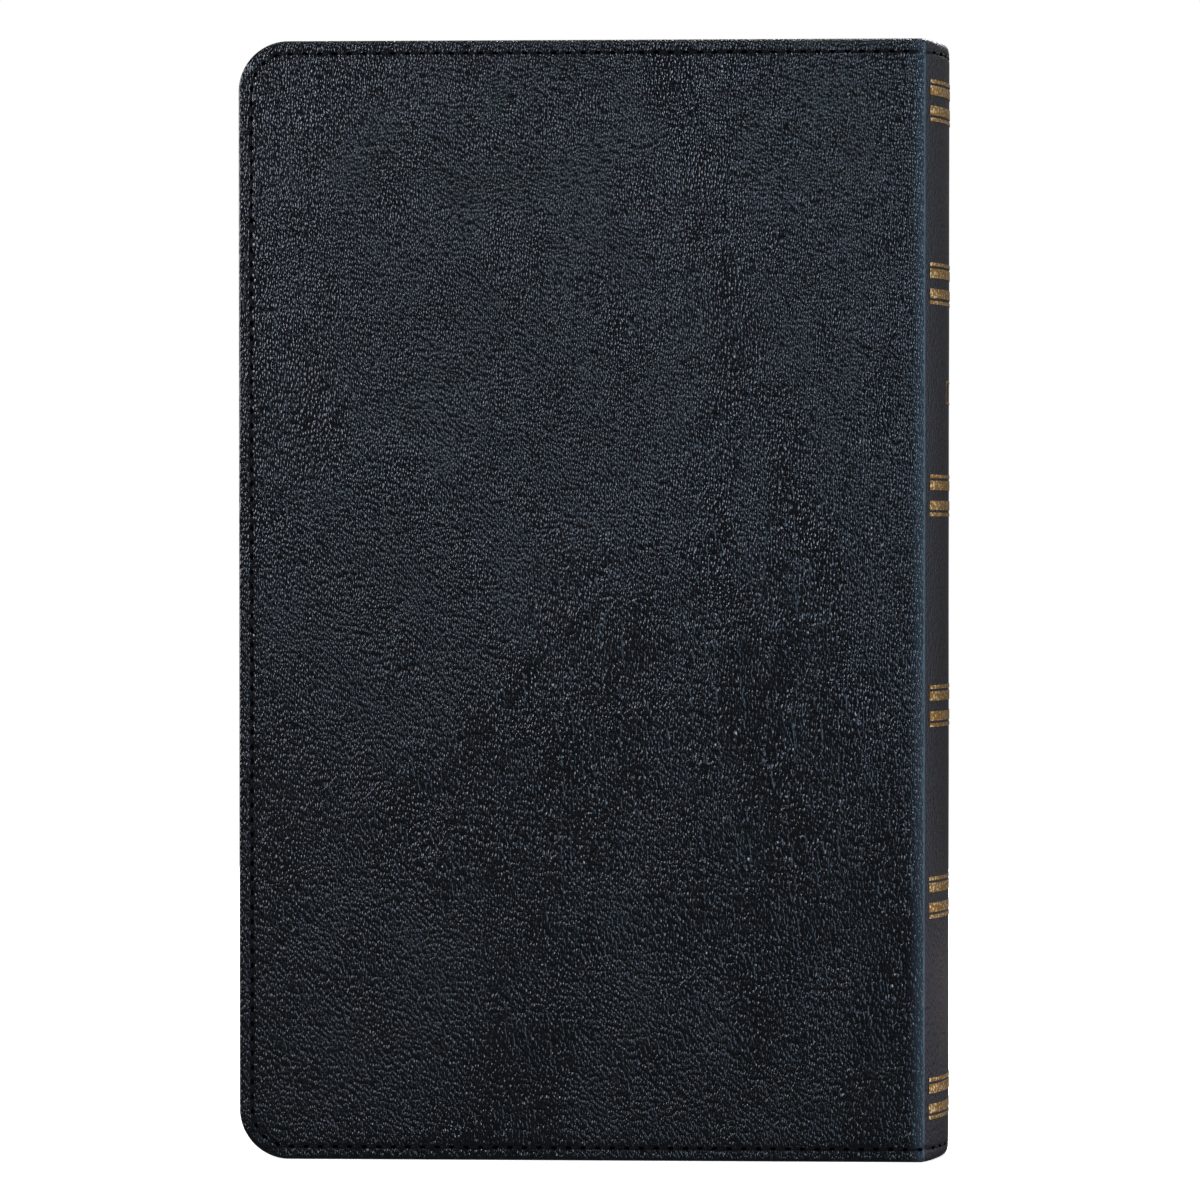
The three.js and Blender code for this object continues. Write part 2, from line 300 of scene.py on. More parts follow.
def bible_paper():
    """Thin ivory bible paper printed in two columns; the print is only grey words, with no letters."""
    material, tree = new_material("printed_ivory_bible_paper")
    place = add(tree, "TexCoord").outputs["Object"]
    fibres = add(tree, "TexNoise", {"Vector": place, "Scale": per_metre(1.2), "Detail": 4.0}).outputs[0]
    tones = [(0.3, "#d9cfb6"), (0.7, "#e8dfca")]
    sheet = add(tree, "ValToRGB", {"Fac": fibres}, stops=tones).outputs["Color"]
    inked = {"Factor": printed_words(tree, place), 6: sheet, 7: linear("#3a3733")}
    tone = add(tree, "Mix", inked, data_type="RGBA").outputs[2]
    bump = add(tree, "Bump", {"Height": fibres, "Strength": 0.3, "Distance": 0.03 * MM})
    look = {"Base Color": tone, "Roughness": 0.72}
    finish_material(tree, {**look, "Normal": bump.outputs["Normal"]})
    return material


def felted(name, dark, light, size, relief, roughness, shine=0.5):
    """Paper, board or thread whose fibres show as a soft mottle.

    Size and relief are in millimetres; shine is the specular level, lower for what swallows light.
    """
    material, tree = new_material(name)
    place = add(tree, "TexCoord").outputs["Object"]
    fibres = add(tree, "TexNoise", {"Vector": place, "Scale": per_metre(size), "Detail": 4.0}).outputs[0]
    tone = add(tree, "ValToRGB", {"Fac": fibres}, stops=[(0.3, dark), (0.7, light)]).outputs["Color"]
    bump = add(tree, "Bump", {"Height": fibres, "Strength": 0.6, "Distance": relief * MM})
    look = {"Base Color": tone, "Roughness": roughness, "Specular IOR Level": shine}
    finish_material(tree, {**look, "Normal": bump.outputs["Normal"]})
    return material


def woven(name, dark, light, pitch, relief, roughness):
    """Cloth of crossed threads at one pitch along X and Z. Pitch and relief are in millimetres."""
    material, tree = new_material(name)
    place = add(tree, "TexCoord").outputs["Object"]
    # A wave texture's phase runs 20 radians per unit of place, so this gives one band per pitch.
    bands = {"Vector": place, "Scale": per_metre(pitch) / 20 * math.tau, "Distortion": 0.4}
    warp = add(tree, "TexWave", bands, bands_direction="X").outputs["Fac"]
    weft = add(tree, "TexWave", bands, bands_direction="Z").outputs["Fac"]
    threads = add(tree, "Math", {0: warp, 1: weft}, operation="MAXIMUM").outputs[0]
    tone = add(tree, "ValToRGB", {"Fac": threads}, stops=[(0.25, dark), (0.9, light)]).outputs["Color"]
    bump = add(tree, "Bump", {"Height": threads, "Strength": 0.8, "Distance": relief * MM})
    look = {"Base Color": tone, "Roughness": roughness}
    finish_material(tree, {**look, "Normal": bump.outputs["Normal"]})
    return material


cover_leather = grained_leather(
    "navy_black_pebbled_leather", "#020204", "#06090f", 0.4, 0.015, 0.24, crease=0.22
)
# The spine's leather: a smoother grain, and a lighter, purpler copy of the cover's colour, which is painted
# light for the light that the spine's curve catches.
spine_leather = grained_leather("stretched_spine_leather_painted_lighter", "#0b090e", "#17141c", 0.14, 0.03, 0.42)
foil = gold_foil()
gilt = gilt_edge()
paper = bible_paper()
# Bonded polyester thread, waxed, a shade darker than the leather.
thread = felted("waxed_black_thread", "#030305", "#08090c", 0.25, 0.05, 0.6, shine=0.2)
# A punched hole shows only shadow.
needle_hole = felted("needle_hole_shadow", "#010102", "#020203", 0.3, 0.02, 0.9, shine=0.0)
# Uncoated black endpaper, slightly mottled.
endpaper = felted("black_endpaper", "#131317", "#1f2025", 0.7, 0.03, 0.75)
# Pressed grey pulp board.
pulp_board = felted("grey_pulp_board", "#6a6455", "#857d6b", 1.0, 0.08, 0.9)
# Brown kraft paper.
kraft = felted("brown_kraft_liner", "#a08a64", "#c2ab84", 0.9, 0.04, 0.85)
# Starched gauze, about one thread a millimetre.
gauze = woven("starched_mull_gauze", "#a89f88", "#ded7c4", 1.0, 0.15, 0.9)
# Satin, ribbed across its width.
satin = woven("burgundy_satin_ribbon", "#4a0d18", "#7d1b2b", 0.35, 0.03, 0.35)
headband_dark = felted("black_headband_thread", "#101014", "#1d1d23", 0.2, 0.05, 0.6)
headband_gold = felted("gold_headband_thread", "#a07f42", "#cfae6c", 0.2, 0.05, 0.5)

# ---------------------------------------------------------------- making pieces


SHARP = math.radians(42)  # edges that turn more than this stay crisp


def make_piece(name, bm, *materials, recalculate=True):
    """A finished bmesh, in millimetres, as a smooth-shaded object in metres at the origin."""
    if recalculate:
        bmesh.ops.recalc_face_normals(bm, faces=bm.faces)
    for edge in bm.edges:
        edge.smooth = not edge.is_manifold or edge.calc_face_angle() < SHARP
    bmesh.ops.scale(bm, vec=(MM, MM, MM), verts=bm.verts)
    mesh = bpy.data.meshes.new(name)
    bm.to_mesh(mesh)
    bm.free()
    mesh.polygons.foreach_set("use_smooth", [True] * len(mesh.polygons))
    piece = bpy.data.objects.new(name, mesh)
    bpy.context.scene.collection.objects.link(piece)
    for material in materials:
        mesh.materials.append(material)
    return piece


def dress(node, material):
    """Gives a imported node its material."""
    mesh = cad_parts[node].data
    mesh.materials.clear()
    mesh.materials.append(material)


# ---------------------------------------------------------------- leather skins

# The turned edge of the leather, from the wall of the pocket that holds the board, round the edge, to
# the flat face: (distance in from the cover's edge, depth below the face).
TURNED_EDGE = [
    (0.8, 0.8),
    (0.8, 1.5),
    (12.0, 1.5),
    (12.0, 1.9),
    (6.0, 1.9),
    (1.0, 1.9),
    (0.45, 1.84),
    (0.12, 1.62),
    (0.0, 1.3),
    (0.0, 0.85),
    (0.11, 0.43),
    (0.42, 0.11),
    (0.85, 0.0),
]
# Rows across the stitched border, then on to the centre of the rounded corner.
BORDER_ROWS = [1.25, 1.65, 1.95, 2.2, 2.45, 2.7, 2.95, 3.2, 3.45]
BORDER_ROWS += [3.8, 4.3, 4.9, 5.6, 6.3, 7.1, 8.0, 9.1, CORNER_R]
RINGS = len(TURNED_EDGE) + len(BORDER_ROWS)
FACE_ROWS = 318
FACE_COLUMNS = 186
FILLET_STEPS = 6
SPINE_STEPS = 27
HINGE_EDGE_THICKNESS = 0.36  # share of the cover's inner layers that is left at the hinge corner
SPINE_TURN_IN = 5.5
HEADCAP = 2.6  # how much of the spine's head and tail is drawn in by the turned edge
HEADCAP_DRAW = 0.55  # how far in, at the very end


def even(start, end, steps):
    """Even steps from start to end, without the start itself."""
    return [start + (end - start) * (k + 1) / steps for k in range(steps)]


ROW_INSETS = [s for s, _ in TURNED_EDGE] + BORDER_ROWS
ROW_COUNT = 2 * RINGS + FACE_ROWS - 1  # along Z, both turned edges included


def row_place(j):
    """The ring number of a row, counted from the nearer end, and the row's height in millimetres."""
    mirrored = ROW_COUNT - 1 - j
    ring = min(j, mirrored)
    if ring < RINGS:
        inset = ROW_INSETS[ring]
        return ring, inset if j < mirrored else HEIGHT - inset
    share = (j - RINGS + 1) / (ROW_COUNT - 2 * RINGS + 1)
    return ring, CORNER_R + (HEIGHT - 2 * CORNER_R) * share


noise.seed_set(7)  # without a seed, noise_vector starts from the clock and differs from run to run


def wear(x, z, seed):
    """How creased the hide is at a place on a cover, from 0 to 1: most where a hand holds it."""
    patch = smooth(0, 0.4, noise.noise(Vector((x * 0.022, z * 0.017, seed + 5))))
    handled = math.exp(-(((x - 38) / 26) ** 2) - ((z - 85) / 56) ** 2)
    return min(1.0, 0.15 + 0.6 * patch + handled)


def swell(x, z, seed):
    """The slow rise and fall of the hide over its board, and broad folds 6 mm apart where it is worn."""
    place = Vector((x, z, seed))
    slow = 0.22 * noise.noise(place * 0.016) + 0.08 * noise.noise(place * 0.045)
    bend = noise.noise_vector(place * 0.021)
    fold = noise.noise(Vector((x * 0.2 + bend.x * 2.6, z * 0.04 + bend.y * 1.5, seed + 9)))
    return slow + 0.1 * wear(x, z, seed) * fold


def bell(value, middle, width):
    """1 at the middle, falling away smoothly on both sides."""
    return math.exp(-(((value - middle) / width) ** 2))


def face_height(x, z, inset, seed):
    """Height of the finished face above the flat cover: folds that die out at the edges, and the seam."""
    fade = smooth(3.5, 13, inset) * (1 - smooth(CORNER_X - 9, CORNER_X - 2, x))
    seam = SEAM_DEPTH * bell(inset, STITCH_INSET, SEAM_WIDTH)
    pillow = 0.07 * bell(inset, 5.4, 1.6)
    return fade * swell(x, z, seed) - seam + pillow


def skin_section(x_place):
    """A place along the leather's path round the hinge: (x, height, outward angle from the face).

    Up to the bend the place is x itself; past it, a share 0..1 of the bend is added to that x.
    """
    if x_place <= FILLET_CX:
        return x_place, FACE_Y, math.pi / 2
    angle = math.pi / 2 + (SEAM_ANGLE - math.pi / 2) * (x_place - FILLET_CX)
    return FILLET_CX + FILLET_R * math.cos(angle), FACE_Y - FILLET_R + FILLET_R * math.sin(angle), angle


def turned_edge_at(ring, hinge_share):
    """Inset and depth of a ring of the turned edge, thinned towards the hinge."""
    inset, depth = TURNED_EDGE[ring]
    if depth > LEATHER:
        depth = LEATHER + (depth - LEATHER) * (1 + (HINGE_EDGE_THICKNESS - 1) * hinge_share)
    if inset > SPINE_TURN_IN:
        inset += (SPINE_TURN_IN - inset) * hinge_share
    return inset, depth


def cover_point(i, j, columns, side, seed):
    """The place of one grid vertex of a cover's skin."""
    row_ring, z = row_place(j)
    ring = min(row_ring, i)
    at_head = j * 2 > ROW_COUNT
    in_rim = ring < len(TURNED_EDGE)
    x_place = columns[i]
    hinge_share = smooth(CORNER_X - 5, CORNER_X - 1.5, min(x_place, FILLET_CX)) if i >= RINGS else 0
    if in_rim:
        inset, depth = turned_edge_at(ring, hinge_share)
    else:
        inset, depth = ROW_INSETS[min(ring, RINGS - 1)], 0
    if i < RINGS and row_ring < RINGS:  # the rounded corner: each ring is an arc
        across, along = RINGS - i, RINGS - row_ring
        angle = math.pi / 4 * (along / across if across >= along else 2 - across / along)
        radius = max(CORNER_R - inset, 1)
        centre = inset + radius
        x = FORE_X + centre - radius * math.cos(angle)
        from_end = centre - radius * math.sin(angle)
        z = HEIGHT - from_end if at_head else from_end
        if not in_rim:
            depth = -face_height(x, z, inset, seed)
        return Vector((x, side * (FACE_Y - depth), z))
    if row_ring < RINGS and row_ring == ring:  # head and tail edges
        z = HEIGHT - inset if at_head else inset
    if i < RINGS and i == ring:  # fore edge
        x, y, angle = FORE_X + inset, FACE_Y, math.pi / 2
    else:
        x, y, angle = skin_section(x_place)
    if not in_rim:
        edge = min(x - FORE_X, z, HEIGHT - z)
        depth = -face_height(x, z, edge, seed)
    normal = Vector((math.cos(angle), math.sin(angle)))
    return Vector((x - normal.x * depth, side * (y - normal.y * depth), z))


def fill_ends(bm, grid, last_column):
    """Closes the cut ends of the turned edge at head and tail, then the underside of the sheet."""
    for rows in (range(len(TURNED_EDGE)), range(ROW_COUNT - len(TURNED_EDGE), ROW_COUNT)):
        bm.faces.new([grid[last_column, j] for j in rows])
    bmesh.ops.holes_fill(bm, edges=[e for e in bm.edges if e.is_boundary], sides=0)


def grid_of(bm, columns, rows):
    """An even bmesh grid, and its vertices by (column, row)."""
    bmesh.ops.create_grid(bm, x_segments=columns - 1, y_segments=rows - 1, size=1)
    place = {}
    for vert in bm.verts:
        i = round((vert.co.x + 1) / 2 * (columns - 1))
        j = round((vert.co.y + 1) / 2 * (rows - 1))
        place[i, j] = vert
    return place


def paint_use(bm, seed):
    """The layers that a cover's leather reads: grain left, wear, and where a highlight is painted along the
    hinge.
    """
    grain = bm.verts.layers.float.new("grain")
    worn = bm.verts.layers.float.new("worn")
    hinge_highlight = bm.verts.layers.float.new("hinge_highlight")
    for vert in bm.verts:
        x, _, z = vert.co
        bend = smooth(FILLET_CX + 0.1, FILLET_CX + 0.8, x)
        edge = min(x - FORE_X, z, HEIGHT - z)
        pressed = 0.8 * bell(edge, STITCH_INSET, 0.45)  # the stitches flatten the grain beside them
        left = (1 - 0.85 * bend) * (1 - pressed)
        use = wear(x, z, seed)
        vert[worn] = use * left
        vert[grain] = (1 - 0.35 * use) * left
        # Painted highlight: the leather's colour pales towards the hinge corner.
        vert[hinge_highlight] = smooth(CORNER_X - 4, CORNER_X + 0.1, x) ** 2


def cover_skin(name):
    """The leather of one cover: face, hinge bend, rounded edges and turn-ins, with the seam pressed in."""
    side = SIDES[name]
    seed = 3.7 if side < 0 else 41.3
    columns = [FORE_X + s for s in ROW_INSETS]
    columns += even(FORE_X + CORNER_R, FILLET_CX, FACE_COLUMNS)
    columns += even(FILLET_CX, FILLET_CX + 1, FILLET_STEPS)
    columns.append(FILLET_CX + 1)  # the last column turns in to give the sheet its thickness
    bm = bmesh.new()
    grid = grid_of(bm, len(columns), ROW_COUNT)
    last = len(columns) - 1
    inward = Vector((-math.cos(SEAM_ANGLE), -side * math.sin(SEAM_ANGLE), 0))
    for (i, j), vert in grid.items():
        vert.co = cover_point(i, j, columns, side, seed)
        if i == last:
            ring = row_place(j)[0]
            depth = turned_edge_at(ring, 1)[1] if ring < len(TURNED_EDGE) else 0
            vert.co += inward * max(LEATHER - depth, 0)
    fill_ends(bm, grid, last)
    paint_use(bm, seed)
    piece = make_piece(f"{name}_cover_skin", bm, cover_leather)
    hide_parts(f"{name}_cover_leather")
    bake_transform(piece)
    return piece


def spine_height(arc, z, side):
    """Height of the spine's surface above its true curve, in millimetres: faint folds and the seam."""
    inset = min(z, HEIGHT - z)
    seam = SEAM_DEPTH * bell(inset, STITCH_INSET, SEAM_WIDTH)
    fold = 0.07 * noise.noise(Vector((side * arc * 0.12, z * 0.03, 63.0)))
    fade = smooth(0, 2.5, SPINE_R * SEAM_ANGLE - arc) * smooth(3, 9, inset)
    return fade * fold - seam


def spine_point(angle, depth, z, side):
    """A place below the spine's surface, at an angle from the apex. Head and tail are drawn in a little."""
    from_end = min(max(min(z, HEIGHT - z), 0), HEADCAP)
    share = (1 - from_end / HEADCAP) ** 2 * smooth(SEAM_ANGLE, SEAM_ANGLE * 0.55, angle)
    drawn_in = HEADCAP_DRAW * share
    radius = SPINE_R - depth - drawn_in
    return Vector((SPINE_CX + radius * math.cos(angle), side * radius * math.sin(angle), z))


def spine_skin(name):
    """The spine's leather from a hinge corner to the middle of the spine."""
    side = SIDES[name]
    bm = bmesh.new()
    grid = grid_of(bm, SPINE_STEPS + 1, ROW_COUNT)
    for (i, j), vert in grid.items():
        ring, z = row_place(j)
        angle = SEAM_ANGLE * (1 - i / SPINE_STEPS)
        depth = -spine_height(SPINE_R * angle, z, side)
        if ring < len(TURNED_EDGE):
            inset, depth = turned_edge_at(ring, 1)
            z = HEIGHT - inset if j * 2 > ROW_COUNT else inset
        vert.co = spine_point(angle, depth, z, side)
    ends = [e for e in bm.edges if e.is_boundary and in_end_row(e) and along_row(e)]
    bmesh.ops.bridge_loops(bm, edges=ends)
    bmesh.ops.holes_fill(bm, edges=[e for e in bm.edges if e.is_boundary], sides=0)
    piece = make_piece(f"{name}_spine_skin", bm, spine_leather)
    nodes = [f"{name}_spine_leather"] + (["middle_spine_leather"] if side > 0 else [])
    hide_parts(*nodes)
    bend_spine(piece)
    return piece


def in_end_row(edge):
    """True for an edge in the spine grid's first or last row. The grid's vertices are numbered by rows."""
    return {vert.index // (SPINE_STEPS + 1) for vert in edge.verts} <= {0, ROW_COUNT - 1}


def along_row(edge):
    """True for an edge across the spine."""
    return abs(edge.verts[0].co.z - edge.verts[1].co.z) < 1e-6


def bend_spine(piece):
    """Bakes a spine piece's placement into its mesh."""
    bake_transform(piece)


# ---------------------------------------------------------------- stitching


def stitch_shape():
    """One stitch along +X: a lozenge of thread, thick in the middle."""
    stitch = bmesh.new()
    bmesh.ops.create_uvsphere(stitch, u_segments=8, v_segments=6, radius=1)
    for vert in stitch.verts:
        vert.co = Vector((vert.co.z, vert.co.y, vert.co.x))
        vert.co.x *= 1.2 * (1 - 0.12 * abs(vert.co.x))
        vert.co.y *= 0.3
        vert.co.z *= 0.2
    shape = bpy.data.meshes.new("stitch_shape")
    stitch.to_mesh(shape)
    stitch.free()
    return shape


def hole_shape():
    """A punched needle hole: a small dark dimple."""
    hole = bmesh.new()
    bmesh.ops.create_uvsphere(hole, u_segments=8, v_segments=4, radius=1)
    bmesh.ops.scale(hole, vec=(0.62, 0.36, 0.1), verts=hole.verts)
    shape = bpy.data.meshes.new("hole_shape")
    hole.to_mesh(shape)
    hole.free()
    return shape


STITCH = stitch_shape()
HOLE = hole_shape()
STITCH_SINK, HOLE_SINK = 0.2, 0.08  # how far their middles lie below the leather's face


def lay(bm, shape, material_index, place, along, out):
    """Adds a copy of a shape with its X along the seam and its Z out of the leather."""
    before = len(bm.faces)
    vert_count = len(bm.verts)
    bm.from_mesh(shape)
    bm.verts.ensure_lookup_table()
    bm.faces.ensure_lookup_table()
    across = out.cross(along)
    turn = Matrix((along, across, out)).transposed().to_4x4()
    bmesh.ops.transform(bm, matrix=Matrix.Translation(place) @ turn, verts=bm.verts[vert_count:])
    for face in bm.faces[before:]:
        face.material_index = material_index


def cover_seam_point(distance, side):
    """Place and direction on a cover's seam, a distance from its tail end at the hinge."""
    radius = CORNER_R - STITCH_INSET
    straight = FILLET_CX - (FORE_X + CORNER_R)
    upright = HEIGHT - 2 * CORNER_R
    arc = radius * math.pi / 2
    low_z, high_z = STITCH_INSET, HEIGHT - STITCH_INSET
    centre_x = FORE_X + CORNER_R
    y = side * FACE_Y
    if distance < straight:
        return Vector((FILLET_CX - distance, y, low_z)), Vector((-1, 0, 0))
    distance -= straight
    if distance < arc:
        a = -math.pi / 2 - distance / radius
        place = Vector((centre_x + radius * math.cos(a), y, CORNER_R + radius * math.sin(a)))
        return place, Vector((math.sin(a), 0, -math.cos(a)))
    distance -= arc
    if distance < upright:
        return Vector((FORE_X + STITCH_INSET, y, CORNER_R + distance)), Vector((0, 0, 1))
    distance -= upright
    if distance < arc:
        a = math.pi - distance / radius
        place = Vector((centre_x + radius * math.cos(a), y, HEIGHT - CORNER_R + radius * math.sin(a)))
        return place, Vector((math.sin(a), 0, -math.cos(a)))
    distance -= arc
    return Vector((centre_x + distance, y, high_z)), Vector((1, 0, 0))


def cover_stitching(name):
    """The stitches round a cover's three free edges, one by one."""
    side = SIDES[name]
    radius = CORNER_R - STITCH_INSET
    length = 2 * (FILLET_CX - FORE_X - CORNER_R) + HEIGHT - 2 * CORNER_R + math.pi * radius
    count = round(length / STITCH_PITCH)
    out = Vector((0, side, 0))
    bm = bmesh.new()
    for k in range(count):
        place, along = cover_seam_point((k + 0.5) * length / count, side)
        lay(bm, STITCH, 0, place - out * STITCH_SINK, along, out)
        place, along = cover_seam_point(k * length / count + 1e-6, side)
        lay(bm, HOLE, 1, place - out * HOLE_SINK, along, out)
    piece = make_piece(f"{name}_cover_stitches", bm, thread, needle_hole, recalculate=False)
    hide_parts(f"{name}_cover_stitching")
    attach(piece, f"{name}_cover")


def spine_stitching(name):
    """The stitches that carry the seam on across the head and the tail of the spine."""
    side = SIDES[name]
    length = SPINE_R * SEAM_ANGLE
    count = round(length / STITCH_PITCH)
    shapes = ((STITCH, 0, 0.5, STITCH_SINK), (HOLE, 1, 0.0, HOLE_SINK))
    bm = bmesh.new()
    for k in range(count):
        for z in (STITCH_INSET, HEIGHT - STITCH_INSET):
            for shape, index, share, depth in shapes:
                angle = SEAM_ANGLE * (k + share) / count
                out = Vector((math.cos(angle), side * math.sin(angle), 0))
                along = Vector((-math.sin(angle), side * math.cos(angle), 0))
                lay(bm, shape, index, spine_point(angle, depth, z, side), along, out)
    piece = make_piece(f"{name}_spine_stitches", bm, thread, needle_hole, recalculate=False)
    bend_spine(piece)


# ---------------------------------------------------------------- gold on the spine

# Six groups of rules, by the height of the group's middle; within a group each rule is
# (distance of its middle from the group's middle, width).
RULE_GROUPS = [217.5, 180.1, 136.7, 93.5, 54.2, 12.9]
RULES = [(-3.9, 0.72), (-2.05, 1.9), (2.05, 1.9), (3.9, 0.72)]
RULE_START_X = CORNER_X + 1.3
FOIL_STAND = 0.035  # how far the foil stands off the leather, and half its thickness
FOIL_COLUMN, FOIL_ROW = 0.6, 0.7  # widest steps of its mesh
FRAME_HALF_WIDTH = 6.6
FRAME_LOW, FRAME_HIGH = 155.6, 160.4
FRAME_RULE = 0.45


def foil_patch(bm, low_arc, high_arc, low_z, high_z, side):
    """A patch of foil on the spine between two distances from the apex and two heights."""
    columns = max(2, math.ceil((high_arc - low_arc) / FOIL_COLUMN)) + 1
    rows = max(1, math.ceil((high_z - low_z) / FOIL_ROW)) + 1
    patch = bmesh.new()
    grid = grid_of(patch, columns, rows)
    for (i, j), vert in grid.items():
        arc = low_arc + (high_arc - low_arc) * i / (columns - 1)
        z = low_z + (high_z - low_z) * j / (rows - 1)
        depth = -spine_height(arc, z, side) - FOIL_STAND
        vert.co = spine_point(arc / SPINE_R, depth, z, side)
    bmesh.ops.recalc_face_normals(patch, faces=patch.faces)
    bmesh.ops.solidify(patch, geom=patch.faces[:], thickness=FOIL_STAND * 2)
    mesh = bpy.data.meshes.new("foil_patch")
    patch.to_mesh(mesh)
    patch.free()
    bm.from_mesh(mesh)
    bpy.data.meshes.remove(mesh)


def spine_foil(name):
    """The gold rules on one side of the spine, and that side of the blank title frame."""
    side = SIDES[name]
    far_arc = SPINE_R * math.acos((RULE_START_X - SPINE_CX) / SPINE_R)
    rules = bmesh.new()
    for group in RULE_GROUPS:
        for offset, width in RULES:
            middle = group + offset
            foil_patch(rules, 0, far_arc, middle - width / 2, middle + width / 2, side)
    piece = make_piece(f"{name}_spine_gold_rules", rules, foil)
    bend_spine(piece)

    title = bmesh.new()
    for low in (FRAME_LOW, FRAME_HIGH - FRAME_RULE):
        foil_patch(title, 0, FRAME_HALF_WIDTH, low, low + FRAME_RULE, side)
    foil_patch(
        title,
        FRAME_HALF_WIDTH - FRAME_RULE,
        FRAME_HALF_WIDTH,
        FRAME_LOW + FRAME_RULE,
        FRAME_HIGH - FRAME_RULE,
        side,
    )
    piece = make_piece(f"{name}_title_frame", title, foil)
    bend_spine(piece)


# ---------------------------------------------------------------- pages

GATHERINGS = 7
SHEETS_PER_GATHERING = 9
MIDDLE_SPLAY = 0.4  # the middle gathering fills the gap that the ribbon leaves at the fore edge
PAGE_R = 6.0
first_y, first_x = span("front_gathering_1", "y")[0], span("front_gathering_1", "x")[1]
BACK_R = math.hypot(first_x - SPINE_CX, first_y)
last_top = span(f"front_gathering_{GATHERINGS}", "y")[1]


def page_back(y):
    """Where the pages' back folds lie, at a distance from the middle plane."""
    return SPINE_CX + math.sqrt(BACK_R**2 - y**2)


PAGE_WIDTH = page_back(last_top) - span(f"front_gathering_{GATHERINGS}", "x")[0]
PAGE_LOW, PAGE_HIGH = span("front_gathering_1", "z")


def page_shape(back_clearance):
    """One sheet, 1 mm thick about y = 0: the face is paper, and every cut edge is gilt."""
    bm = bmesh.new()
    bmesh.ops.create_grid(bm, x_segments=1, y_segments=1, size=0.5)
    width = PAGE_WIDTH - back_clearance
    bmesh.ops.scale(bm, vec=(width, PAGE_HIGH - PAGE_LOW, 1), verts=bm.verts)
    fore = [v for v in bm.verts if v.co.x < 0]
    bmesh.ops.bevel(bm, geom=fore, offset=PAGE_R, segments=8, profile=0.5, affect="VERTICES", material=-1)
    bmesh.ops.rotate(bm, cent=(0, 0, 0), matrix=Matrix.Rotation(math.pi / 2, 3, "X"), verts=bm.verts)
    out = bmesh.ops.extrude_face_region(bm, geom=bm.faces[:])
    moved = [g for g in out["geom"] if isinstance(g, bmesh.types.BMVert)]
    bmesh.ops.translate(bm, vec=(0, 1, 0), verts=moved)
    middle = (-width / 2 - back_clearance, -0.5, (PAGE_LOW + PAGE_HIGH) / 2)
    bmesh.ops.translate(bm, vec=middle, verts=bm.verts)
    bmesh.ops.recalc_face_normals(bm, faces=bm.faces)
    for face in bm.faces:
        face.material_index = 0 if abs(face.normal.y) > 0.5 else 1
    mesh = bpy.data.meshes.new("page_shape")
    bm.to_mesh(mesh)
    bm.free()
    return mesh


def page_bundle(node, body, sheets, shape, splay=0):
    """Sheets filling a packed bundle's place, each a hair out of line with the next.

    A bundle that splays is that share thicker at its fore edge.
    """
    shuffle = random.Random(node)
    low, high = span(node, "y")
    pitch = (high - low) / sheets
    bm = bmesh.new()
    for k in range(sheets):
        y = low + (k + 0.5) * pitch
        start = len(bm.verts)
        bm.from_mesh(shape)
        bm.verts.ensure_lookup_table()
        x = page_back(abs(y)) + shuffle.uniform(-0.05, 0.05)
        z = shuffle.uniform(-0.04, 0.04)
        place = Matrix.Translation((x, y, z)) @ Matrix.Diagonal((1, pitch * 0.9, 1, 1))
        bmesh.ops.transform(bm, matrix=place, verts=bm.verts[start:])
        for vert in bm.verts[start:]:
            vert.co.y *= 1 + splay * (x - vert.co.x) / PAGE_WIDTH
    piece = make_piece(f"{node}_sheets", bm, paper, gilt, recalculate=False)
    piece.data.polygons.foreach_set("use_smooth", [False] * len(piece.data.polygons))
    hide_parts(node)
    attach(piece, body)


def pages():
    """Every gathering and every loose bundle."""
    full = page_shape(0)
    loose = page_shape(0.5)
    page_bundle("middle_gathering", "spine_middle", SHEETS_PER_GATHERING + 1, full, splay=MIDDLE_SPLAY)
    for name in SIDES:
        for k in range(1, GATHERINGS + 1):
            page_bundle(f"{name}_gathering_{k}", f"{name}_half", SHEETS_PER_GATHERING, full)
        for k in (1, 2):
            page_bundle(f"{name}_turning_pages_{k}", f"{name}_turning_pages_{k}", 2, loose)


HEADBAND_R = 0.8
HEADBAND_INSET = 0.85  # of the roll's middle from the pages' backs
HEADBAND_WIND = 0.3  # width of one wind of thread
WIND_VALLEY = 0.86  # the roll's share of radius between two winds


